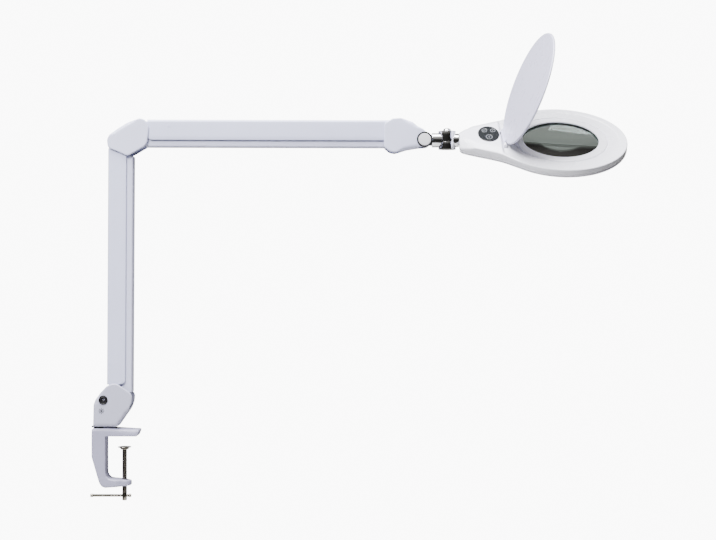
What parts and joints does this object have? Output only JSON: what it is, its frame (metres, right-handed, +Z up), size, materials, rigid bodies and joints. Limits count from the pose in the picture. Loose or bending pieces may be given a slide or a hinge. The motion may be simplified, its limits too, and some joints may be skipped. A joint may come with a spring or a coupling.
{
  "type": "magnifying lamp",
  "caption": "Bench magnifying lamp: desk clamp, two parallel-link spring arms, tilting and rolling lens head with light ring, touch keys and hinged lens cover.",
  "frame": {"origin": "where the clamp screw's axis meets the underside of the upper jaw, the face that sits on the bench", "axes": "+X from the clamp towards the lamp head, +Z up, -Y the front"},
  "size_m": [0.8314, 0.2247, 0.7168],
  "materials": {
    "clamp_paint": "satin powder coat",
    "arm_paint": "satin powder coat",
    "inner_paint": "satin powder coat",
    "housing_plastic": "fine satin moulding",
    "head_plastic": "semi gloss moulding",
    "lid_plastic": "semi gloss moulding",
    "black_plastic": "fine matte",
    "dark_steel": "dark plated steel",
    "core_steel": "zinc plated sheet",
    "pin_steel": "bright zinc",
    "spring_steel": "drawn wire",
    "chrome": "polished chrome",
    "lens_glass": "clear polished glass",
    "rubber": "soft black rubber",
    "board_white": "white solder mask",
    "board_green": "green solder mask",
    "led_yellow": "phosphor dome",
    "diffuser": "milky acrylic",
    "bezel_grey": "fine matte moulding",
    "panel_gloss": "dark glossy film",
    "key_gloss": "dark glossy film",
    "marking": "printed ink"
  },
  "bodies": {
    "clamp": {"clamp_frame": "clamp_paint", "swivel_bush": "black_plastic"},
    "pad": {"pressure_pad": "dark_steel"},
    "spindle": {"clamp_spindle": "dark_steel"},
    "tommy": {"tommy_bar": "dark_steel"},
    "base": {"base_shell_front": "housing_plastic", "base_shell_rear": "housing_plastic", "base_core": "core_steel", "swivel_pin": "pin_steel", "base_pivot_pins": "pin_steel", "base_screws": "core_steel", "dc_inlet": "black_plastic", "dc_inlet_pin": "pin_steel", "sun_mark": "marking"},
    "lower_outer": {"lower_outer_channel": "arm_paint", "lower_spring": "spring_steel", "lower_spring_pins": "arm_paint"},
    "lower_inner": {"lower_inner_channel": "inner_paint"},
    "elbow": {"elbow_shell_front": "housing_plastic", "elbow_shell_rear": "housing_plastic", "elbow_core": "core_steel", "elbow_pivot_pins": "pin_steel", "elbow_screws": "core_steel"},
    "upper_outer": {"upper_outer_channel": "arm_paint", "upper_spring": "spring_steel", "upper_spring_pins": "arm_paint"},
    "upper_inner": {"upper_inner_channel": "inner_paint"},
    "end_block": {"end_shell_front": "housing_plastic", "end_shell_rear": "housing_plastic", "end_core": "core_steel", "end_pivot_pins": "pin_steel", "end_screws": "core_steel", "tilt_bolt": "chrome", "tilt_nut": "chrome"},
    "neck": {"neck": "chrome", "knuckle_bolt": "chrome", "dome_nut": "chrome"},
    "stem": {"stem": "chrome", "stem_collar": "pin_steel"},
    "head": {"head_top_cover": "head_plastic", "head_bottom_cover": "head_plastic", "lens": "lens_glass", "lens_gasket": "rubber", "lens_retainer": "bezel_grey", "led_board": "board_white", "leds": "led_yellow", "led_diffuser": "diffuser", "stem_socket": "core_steel", "control_board": "board_green", "switches": "black_plastic", "touch_panel": "panel_gloss", "status_led": "panel_gloss", "head_screws": "core_steel", "lid_brackets": "head_plastic", "lid_pin": "pin_steel"},
    "lid": {"lid": "lid_plastic"},
    "key_power": {"key_power": "key_gloss"},
    "key_dimmer": {"key_dimmer": "key_gloss"},
    "key_brighter": {"key_brighter": "key_gloss"}
  },
  "joints": [
    {"name": "spindle_turn", "type": "hinge", "parent": "pad", "child": "spindle", "pos_m": [0, 0, -0.03], "axis": [0, 0, 1], "range_deg": [-12130, 2620]},
    {"name": "clamp_travel", "type": "slide", "parent": "clamp", "child": "pad", "axis": [0, 0, 1], "range_m": [-0.042, 0.009]},
    {"name": "tommy_slide", "type": "slide", "parent": "spindle", "child": "tommy", "axis": [1, 0, 0], "range_m": [0, 0.043]},
    {"name": "base_swivel", "type": "hinge", "parent": "clamp", "child": "base", "pos_m": [-0.038, 0, 0.01], "axis": [0, 0, 1], "continuous": true},
    {"name": "lower_swing", "type": "hinge", "parent": "base", "child": "lower_outer", "pos_m": [-0.0151, 0, 0.0682], "axis": [0, 1, 0], "range_deg": [-20, 85]},
    {"name": "lower_inner_swing", "type": "hinge", "parent": "base", "child": "lower_inner", "pos_m": [0.0019, 0, 0.0563], "axis": [0, 1, 0], "range_deg": [-20, 85]},
    {"name": "elbow_level", "type": "hinge", "parent": "lower_outer", "child": "elbow", "pos_m": [-0.01307, 0, 0.45599], "axis": [0, 1, 0], "range_deg": [-85, 20]},
    {"name": "upper_swing", "type": "hinge", "parent": "elbow", "child": "upper_outer", "pos_m": [0.02533, 0, 0.47549], "axis": [0, 1, 0], "range_deg": [-50, 60]},
    {"name": "upper_inner_swing", "type": "hinge", "parent": "elbow", "child": "upper_inner", "pos_m": [0.02223, 0, 0.45769], "axis": [0, 1, 0], "range_deg": [-50, 60]},
    {"name": "end_level", "type": "hinge", "parent": "upper_outer", "child": "end_block", "pos_m": [0.42403, 0, 0.47445], "axis": [0, 1, 0], "range_deg": [-60, 50]},
    {"name": "head_tilt", "type": "hinge", "parent": "end_block", "child": "neck", "pos_m": [0.46423, 0, 0.45755], "axis": [0, 1, 0], "range_deg": [-60, 70]},
    {"name": "head_turn", "type": "hinge", "parent": "neck", "child": "stem", "pos_m": [0.49983, 0, 0.45755], "axis": [0, 0, 1], "range_deg": [-75, 75]},
    {"name": "head_roll", "type": "hinge", "parent": "stem", "child": "head", "pos_m": [0.67573, 0, 0.45755], "axis": [1, 0, 0], "range_deg": [-120, 55]},
    {"name": "lid_hinge", "type": "hinge", "parent": "head", "child": "lid", "pos_m": [0.58773, -0.0033, 0.46268], "axis": [0, 0.841, 0.541], "range_deg": [-25, 68.8]},
    {"name": "power_press", "type": "slide", "parent": "head", "child": "key_power", "axis": [0, -0.541, 0.841], "range_m": [-0.0004, 0], "stiffness_N_per_m": 1500},
    {"name": "dimmer_press", "type": "slide", "parent": "head", "child": "key_dimmer", "axis": [0, -0.541, 0.841], "range_m": [-0.0004, 0], "stiffness_N_per_m": 1500},
    {"name": "brighter_press", "type": "slide", "parent": "head", "child": "key_brighter", "axis": [0, -0.541, 0.841], "range_m": [-0.0004, 0], "stiffness_N_per_m": 1500}
  ],
  "couplings": [
    {"joint": "spindle_turn", "follows": "clamp_travel", "rad_per_m": 5026.5},
    {"joint": "lower_inner_swing", "follows": "lower_swing", "ratio": 1},
    {"joint": "elbow_level", "follows": "lower_swing", "ratio": -1},
    {"joint": "upper_inner_swing", "follows": "upper_swing", "ratio": 1},
    {"joint": "end_level", "follows": "upper_swing", "ratio": -1}
  ]
}
